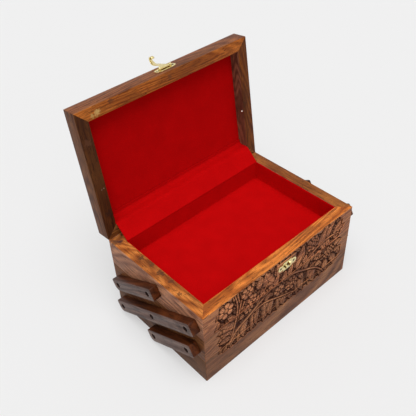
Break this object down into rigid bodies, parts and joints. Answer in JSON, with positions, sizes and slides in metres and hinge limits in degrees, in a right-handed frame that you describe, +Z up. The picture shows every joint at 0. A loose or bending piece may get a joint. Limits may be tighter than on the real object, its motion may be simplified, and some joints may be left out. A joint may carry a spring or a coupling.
{
  "type": "keepsake box",
  "caption": "Lidded hardwood keepsake box of stacked trays on swinging side arms, velvet lined, with a carved front and a brass hook latch.",
  "frame": {"origin": "middle of the underside of the bottom tray, on the surface that the box stands on", "axes": "+X along the carved front to its right end, +Y to the hinged back, +Z up"},
  "size_m": [0.25, 0.2101, 0.2587],
  "materials": {
    "sheesham": "waxed, satin, with the grain showing",
    "arm_wood": "dark stained, satin",
    "red_velvet": "short-pile velvet",
    "hinge_cloth": "short-pile velvet, taut",
    "brass": "polished",
    "dark_steel": "oxidised"
  },
  "bodies": {
    "bottom_tray": {"bottom_tray_front": "sheesham", "bottom_tray_back": "sheesham", "bottom_tray_left": "sheesham", "bottom_tray_right": "sheesham", "bottom_tray_floor": "sheesham", "bottom_tray_velvet": "red_velvet", "bottom_pivot_screws": "dark_steel"},
    "middle_tray": {"middle_tray_front": "sheesham", "middle_tray_back": "sheesham", "middle_tray_left": "sheesham", "middle_tray_right": "sheesham", "middle_tray_floor": "sheesham", "middle_tray_velvet": "red_velvet", "middle_pivot_screws": "dark_steel"},
    "top_tray": {"top_tray_front": "sheesham", "top_tray_back": "sheesham", "top_tray_left": "sheesham", "top_tray_right": "sheesham", "top_tray_floor": "sheesham", "top_tray_velvet": "red_velvet", "top_pivot_screws": "dark_steel", "tray_hinge_leaves": "brass", "hinge_pins": "brass", "tray_hinge_screws": "brass", "catch_plate": "brass", "catch_screws": "dark_steel"},
    "lid": {"lid_front_rail": "sheesham", "lid_back_rail": "sheesham", "lid_left_rail": "sheesham", "lid_right_rail": "sheesham", "lid_panel": "sheesham", "lid_velvet": "red_velvet", "lid_side_nails": "dark_steel", "lid_hinge_leaves": "brass", "lid_hinge_screws": "brass", "hinge_cloth": "hinge_cloth", "latch_plate": "brass", "latch_pin": "brass", "latch_screws": "dark_steel"},
    "latch_hook": {"latch_hook": "brass"},
    "upper_arm_left": {"upper_arm_left": "arm_wood"},
    "upper_arm_right": {"upper_arm_right": "arm_wood"},
    "long_arm_left": {"long_arm_left": "arm_wood"},
    "long_arm_right": {"long_arm_right": "arm_wood"},
    "lower_arm_left": {"lower_arm_left": "arm_wood"},
    "lower_arm_right": {"lower_arm_right": "arm_wood"}
  },
  "joints": [
    {"name": "fold", "type": "hinge", "parent": "bottom_tray", "child": "long_arm_left", "pos_m": [0, 0.0545, 0.0185], "axis": [-1, 0, 0], "range_deg": [0, 121]},
    {"name": "long_arm_right_pivot", "type": "hinge", "parent": "bottom_tray", "child": "long_arm_right", "pos_m": [0, 0.0545, 0.0185], "axis": [-1, 0, 0], "range_deg": [0, 121]},
    {"name": "lower_arm_left_pivot", "type": "hinge", "parent": "bottom_tray", "child": "lower_arm_left", "pos_m": [0, -0.001, 0.015], "axis": [-1, 0, 0], "range_deg": [0, 121]},
    {"name": "lower_arm_right_pivot", "type": "hinge", "parent": "bottom_tray", "child": "lower_arm_right", "pos_m": [0, -0.001, 0.015], "axis": [-1, 0, 0], "range_deg": [0, 121]},
    {"name": "middle_tray_pivot", "type": "hinge", "parent": "long_arm_left", "child": "middle_tray", "pos_m": [0, -0.003, 0.051], "axis": [1, 0, 0], "range_deg": [0, 121]},
    {"name": "top_tray_pivot", "type": "hinge", "parent": "long_arm_left", "child": "top_tray", "pos_m": [0, -0.0605, 0.0835], "axis": [1, 0, 0], "range_deg": [0, 121]},
    {"name": "upper_arm_left_pivot", "type": "hinge", "parent": "middle_tray", "child": "upper_arm_left", "pos_m": [0, 0.0565, 0.053], "axis": [-1, 0, 0], "range_deg": [0, 121]},
    {"name": "upper_arm_right_pivot", "type": "hinge", "parent": "middle_tray", "child": "upper_arm_right", "pos_m": [0, 0.0565, 0.053], "axis": [-1, 0, 0], "range_deg": [0, 121]},
    {"name": "lid_hinge", "type": "hinge", "parent": "top_tray", "child": "lid", "pos_m": [0, 0.076, 0.10275], "axis": [1, 0, 0], "range_deg": [0, 97], "deforming": ["hinge_cloth"]},
    {"name": "latch_pivot", "type": "hinge", "parent": "lid", "child": "latch_hook", "pos_m": [0, 0.10437, 0.25462], "axis": [1, 0, 0], "range_deg": [0, 165]}
  ],
  "couplings": [
    {"joint": "long_arm_right_pivot", "follows": "fold", "ratio": 1},
    {"joint": "lower_arm_left_pivot", "follows": "fold", "ratio": 1},
    {"joint": "lower_arm_right_pivot", "follows": "fold", "ratio": 1},
    {"joint": "middle_tray_pivot", "follows": "fold", "ratio": 1},
    {"joint": "top_tray_pivot", "follows": "fold", "ratio": 1},
    {"joint": "upper_arm_left_pivot", "follows": "fold", "ratio": 1},
    {"joint": "upper_arm_right_pivot", "follows": "fold", "ratio": 1}
  ]
}
